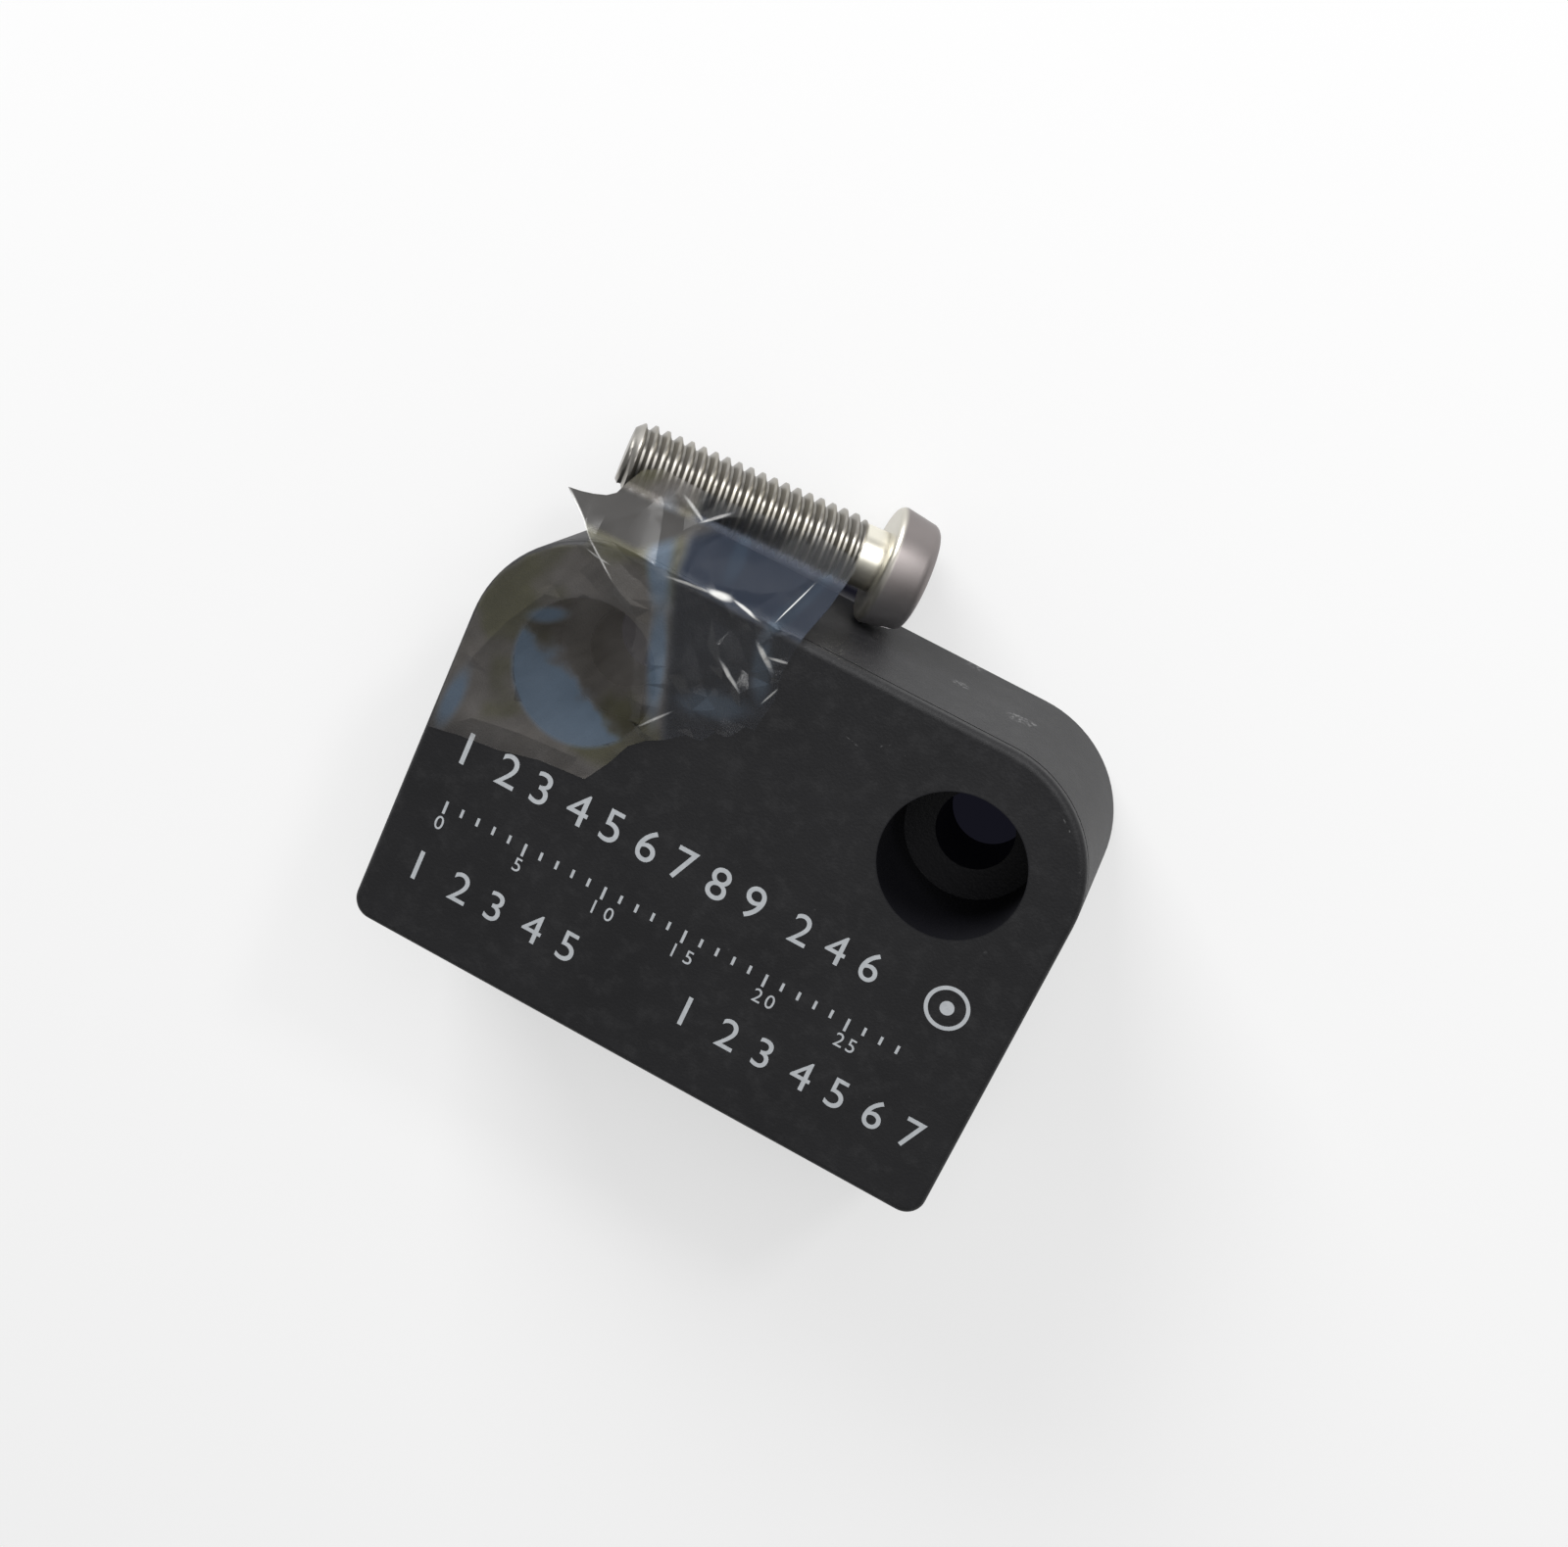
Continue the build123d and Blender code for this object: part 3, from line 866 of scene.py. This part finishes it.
def crumpled_film(material):
    """The torn, creased bag film over left hole, edge and screw, in place of the plain CAD film."""
    points, triangles = film_facets()
    shape = bmesh.new()
    heights = [film_rest_height(p.x, p.y) + film_lift(p) for p in points]
    corners = [shape.verts.new(Vector((p.x, p.y, z)) * MM) for p, z in zip(points, heights)]
    for triangle in triangles:
        shape.faces.new([corners[i] for i in triangle])
    bmesh.ops.delete(shape, geom=[v for v in shape.verts if not v.link_faces], context="VERTS")
    bmesh.ops.subdivide_edges(shape, edges=shape.edges, cuts=1, use_grid_fill=True)
    area = sum(face.calc_area() for face in shape.faces)
    film = from_bmesh(shape, "film_facets")
    skin = film.modifiers.new("skin", "SOLIDIFY")
    skin.thickness = film_thickness
    skin.offset = 1
    film = as_mesh(film, "bag_film_crumpled")
    paint(film, material)
    smooth(film, film_sharp_angle)
    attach(film, "film")
    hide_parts("bag_film")


def digit(character, left, baseline, height):
    """One digit as thin raised ink, by its left end, baseline and height in millimetres."""
    text = bpy.data.curves.new("digit", "FONT")
    text.body = character
    # To both sides, so the digit is 1 thick until it is flattened below
    text.extrude = 0.5
    piece = as_mesh(linked(bpy.data.objects.new("digit", text)), "digit")
    low = Vector([min(v.co[axis] for v in piece.data.vertices) for axis in range(3)])
    high = Vector([max(v.co[axis] for v in piece.data.vertices) for axis in range(3)])
    size = height * MM / (high.y - low.y)
    place = Vector((left * MM, baseline * MM, face_z + ink_thickness / 2))
    fit = Matrix.Diagonal((size, size, ink_thickness, 1)) @ Matrix.Translation((-low.x, -low.y, 0))
    piece.data.transform(Matrix.Translation(place) @ fit)
    return piece


def scale_tree():
    """Ruled ticks along X, the numbered ones longer."""
    number = "NodeSocketFloat"
    graph, given = geometry_tree("ruled_scale", {
        "Ticks": "NodeSocketInt", "Step": number, "Width": number, "Length": number, "Thickness": number,
        "Material": "NodeSocketMaterial",
    })
    step = graph.add("ShaderNodeCombineXYZ", {"X": given["Step"]})
    line = graph.add("GeometryNodeMeshLine", {"Count": given["Ticks"], "Offset": step.outputs[0]})
    size = graph.add("ShaderNodeCombineXYZ", {"X": given["Width"], "Y": given["Length"],
                                              "Z": given["Thickness"]})
    bar = graph.add("GeometryNodeMeshCube", {"Size": size.outputs[0]})
    hang = graph.add("ShaderNodeCombineXYZ", {"Y": graph.math("MULTIPLY", given["Length"], -0.5),
                                              "Z": graph.math("MULTIPLY", given["Thickness"], 0.5)})
    bar = graph.add("GeometryNodeTransform", {"Geometry": bar.outputs["Mesh"],
                                              "Translation": hang.outputs[0]})
    index = graph.add("GeometryNodeInputIndex").outputs[0]
    numbered = graph.math("COMPARE", graph.math("MODULO", index, float(scale_numbered)), 0.0, 0.1)
    longer = graph.math("MULTIPLY_ADD", numbered, long_tick_more, 1.0)
    reach = graph.add("ShaderNodeCombineXYZ", {"X": 1.0, "Y": longer, "Z": 1.0})
    ticks = graph.add("GeometryNodeInstanceOnPoints", {
        "Points": line.outputs["Mesh"], "Instance": bar.outputs[0], "Scale": reach.outputs[0],
    })
    return finish_tree(graph, ticks.outputs[0])


def ink_ring(radius, line):
    """A thin printed ring of an outer radius and a line width in millimetres."""
    outer, inner = radius * MM, (radius - line) * MM
    profile = [(inner, 0), (outer, 0), (outer, ink_thickness), (inner, ink_thickness)]
    angles = [2 * pi * i / ink_ring_points for i in range(ink_ring_points)]
    shape = bmesh.new()
    rings = [[shape.verts.new((r * cos(a), r * sin(a), z)) for a in angles] for r, z in profile]
    for low, high in zip(rings, rings[1:] + rings[:1]):
        for i in range(ink_ring_points):
            shape.faces.new([low[i - 1], low[i], high[i], high[i - 1]])
    return from_bmesh(shape, "ring")


def face_print(ink):
    """Generic print in place of the photographed one: digits, a ruled scale and a ring with a dot."""
    pieces = []
    for digits, left, step, baseline, height in digit_rows:
        for i, character in enumerate(digits):
            pieces.append(digit(character, left + i * step, baseline, height))
    scale = grown(scale_tree(), "ruled_scale", {
        "Ticks": scale_ticks, "Step": scale_step * MM, "Width": tick_width * MM, "Length": tick_length * MM,
        "Thickness": ink_thickness, "Material": ink,
    })
    scale.data.transform(Matrix.Translation((scale_left * MM, scale_top * MM, face_z)))
    pieces.append(scale)
    baseline = scale_top - scale_digit_drop - scale_digit_height
    for i in range(0, scale_ticks, scale_numbered):
        for j, character in enumerate(str(i)):
            left = scale_left + i * scale_step - scale_digit_back + j * scale_digit_step
            pieces.append(digit(character, left, baseline, scale_digit_height))
    for radius, line in ring_sizes:
        ring = ink_ring(radius, line)
        ring.data.transform(Matrix.Translation((*(ring_place * MM), face_z)))
        pieces.append(ring)
    mark = joined(pieces, "face_print")
    paint(mark, ink)
    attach(mark, "housing")


def stage():
    """Floor, lights, world and camera."""
    shape = bmesh.new()
    bmesh.ops.create_grid(shape, x_segments=1, y_segments=1, size=floor_reach)
    ground = from_bmesh(shape, "floor")
    ground.location.z = -floor_drop
    paint(ground, pale_floor())
    for lamp in lamps:
        soft_lamp(*lamp)
    studio_world()
    photo_camera()


def soft_lamp(name, place, size, power):
    """Square soft lamp that looks at the object."""
    light = bpy.data.lights.new(name, "AREA")
    light.shape = "SQUARE"
    light.size = size
    light.energy = power
    lamp = linked(bpy.data.objects.new(name, light))
    lamp.location = place
    lamp.rotation_euler = (-place).to_track_quat("-Z", "Y").to_euler()


def studio_world():
    """A plain soft fill from all round."""
    world = bpy.data.worlds.new("studio")
    world.use_nodes = True
    bpy.context.scene.world = world
    background = world.node_tree.nodes["Background"]
    background.inputs["Color"].default_value = (1, 1, 1, 1)
    background.inputs["Strength"].default_value = world_strength


def photo_camera():
    """Camera at the photograph's place, with the same field of view."""
    data = bpy.data.cameras.new("photo_camera")
    data.lens = camera_lens
    data.sensor_width = camera_sensor
    data.clip_start, data.clip_end = camera_range
    camera = linked(bpy.data.objects.new("photo_camera", data))
    back = (camera_place - camera_target).normalized()
    right = camera_up.cross(back).normalized()
    turn = Matrix((right, back.cross(right), back)).transposed().to_4x4()
    camera.matrix_world = Matrix.Translation(camera_place) @ turn
    bpy.context.scene.camera = camera


def main():
    bpy.context.scene.view_settings.view_transform = "Standard"
    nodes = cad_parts
    paint(nodes["housing_shell"], moulded_plastic())
    paint(nodes["magnet_carrier"], natural_plastic())
    paint(nodes["cast_filling"], cast_resin())
    ferrite = ground_ferrite()
    for magnet in ("magnet_left", "magnet_centre", "magnet_right"):
        paint(nodes[magnet], ferrite)
    mounting_screw(zinc_steel())
    crumpled_film(clear_film())
    face_print(pad_ink())
    stage()


main()
